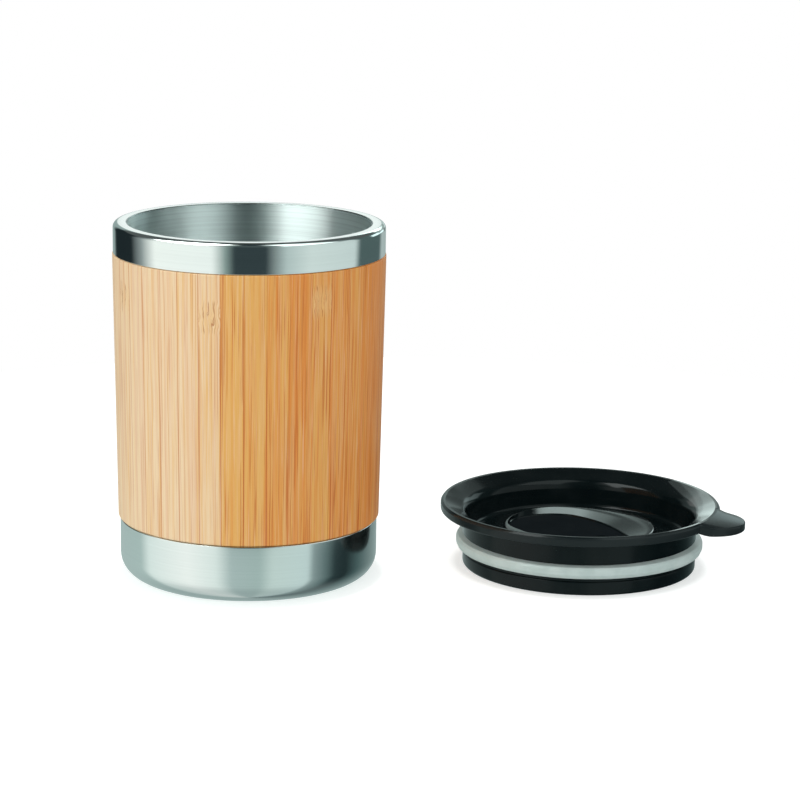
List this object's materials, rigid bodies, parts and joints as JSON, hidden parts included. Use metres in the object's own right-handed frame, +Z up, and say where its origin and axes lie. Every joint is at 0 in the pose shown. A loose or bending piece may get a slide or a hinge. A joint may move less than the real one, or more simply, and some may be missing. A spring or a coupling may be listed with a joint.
{
  "type": "insulated tumbler with lid",
  "caption": "Double-wall steel tumbler in a bamboo stave sleeve with bare steel rim and base, beside its push-in lid with lift tab, sealing ring and turning sip dial.",
  "frame": {"origin": "on the cup's axis, at the middle of the flat underside of its base, in the plane that cup and lid stand on", "axes": "+Z up along the cup's axis, +X towards the lid's axis, +Y away from the side that the picture shows"},
  "size_m": [0.1979, 0.0896, 0.1122],
  "materials": {
    "brushed_steel": "satin stainless steel, brushed round the cup, with a bright rolled rim",
    "bamboo": "clear-coated bamboo strips with fine upright fibres and pale joints",
    "black_plastic": "satin black moulded plastic",
    "pale_silicone": "translucent pale grey silicone"
  },
  "bodies": {
    "cup": {"inner_liner": "brushed_steel", "outer_wall": "brushed_steel", "wall_bottom": "brushed_steel", "base_cap": "brushed_steel", "bamboo_stave_01": "bamboo", "bamboo_stave_02": "bamboo", "bamboo_stave_03": "bamboo", "bamboo_stave_04": "bamboo", "bamboo_stave_05": "bamboo", "bamboo_stave_06": "bamboo", "bamboo_stave_07": "bamboo", "bamboo_stave_08": "bamboo", "bamboo_stave_09": "bamboo", "bamboo_stave_10": "bamboo", "bamboo_stave_11": "bamboo", "bamboo_stave_12": "bamboo", "bamboo_stave_13": "bamboo", "bamboo_stave_14": "bamboo", "bamboo_stave_15": "bamboo", "bamboo_stave_16": "bamboo", "bamboo_stave_17": "bamboo", "bamboo_stave_18": "bamboo", "bamboo_stave_19": "bamboo", "bamboo_stave_20": "bamboo", "bamboo_stave_21": "bamboo", "bamboo_stave_22": "bamboo", "bamboo_stave_23": "bamboo", "bamboo_stave_24": "bamboo", "bamboo_stave_25": "bamboo", "bamboo_stave_26": "bamboo", "bamboo_stave_27": "bamboo", "bamboo_stave_28": "bamboo", "bamboo_stave_29": "bamboo", "bamboo_stave_30": "bamboo", "bamboo_stave_31": "bamboo", "bamboo_stave_32": "bamboo", "bamboo_stave_33": "bamboo", "bamboo_stave_34": "bamboo", "bamboo_stave_35": "bamboo", "bamboo_stave_36": "bamboo", "bamboo_stave_37": "bamboo", "bamboo_stave_38": "bamboo"},
    "lid": {"lid_shell": "black_plastic", "lid_base": "black_plastic", "lid_seal": "pale_silicone"},
    "dial": {"sip_dial": "black_plastic", "dial_seal": "pale_silicone", "dial_clip": "black_plastic"}
  },
  "joints": [
    {"name": "lid_lift", "type": "slide", "parent": "cup", "child": "lid", "axis": [0, 0, 1], "range_m": [0, 0.125]},
    {"name": "dial_turn", "type": "hinge", "parent": "lid", "child": "dial", "pos_m": [0.10675, 0, 0.0115], "axis": [0, 0, 1], "range_deg": [-90, 0]}
  ]
}
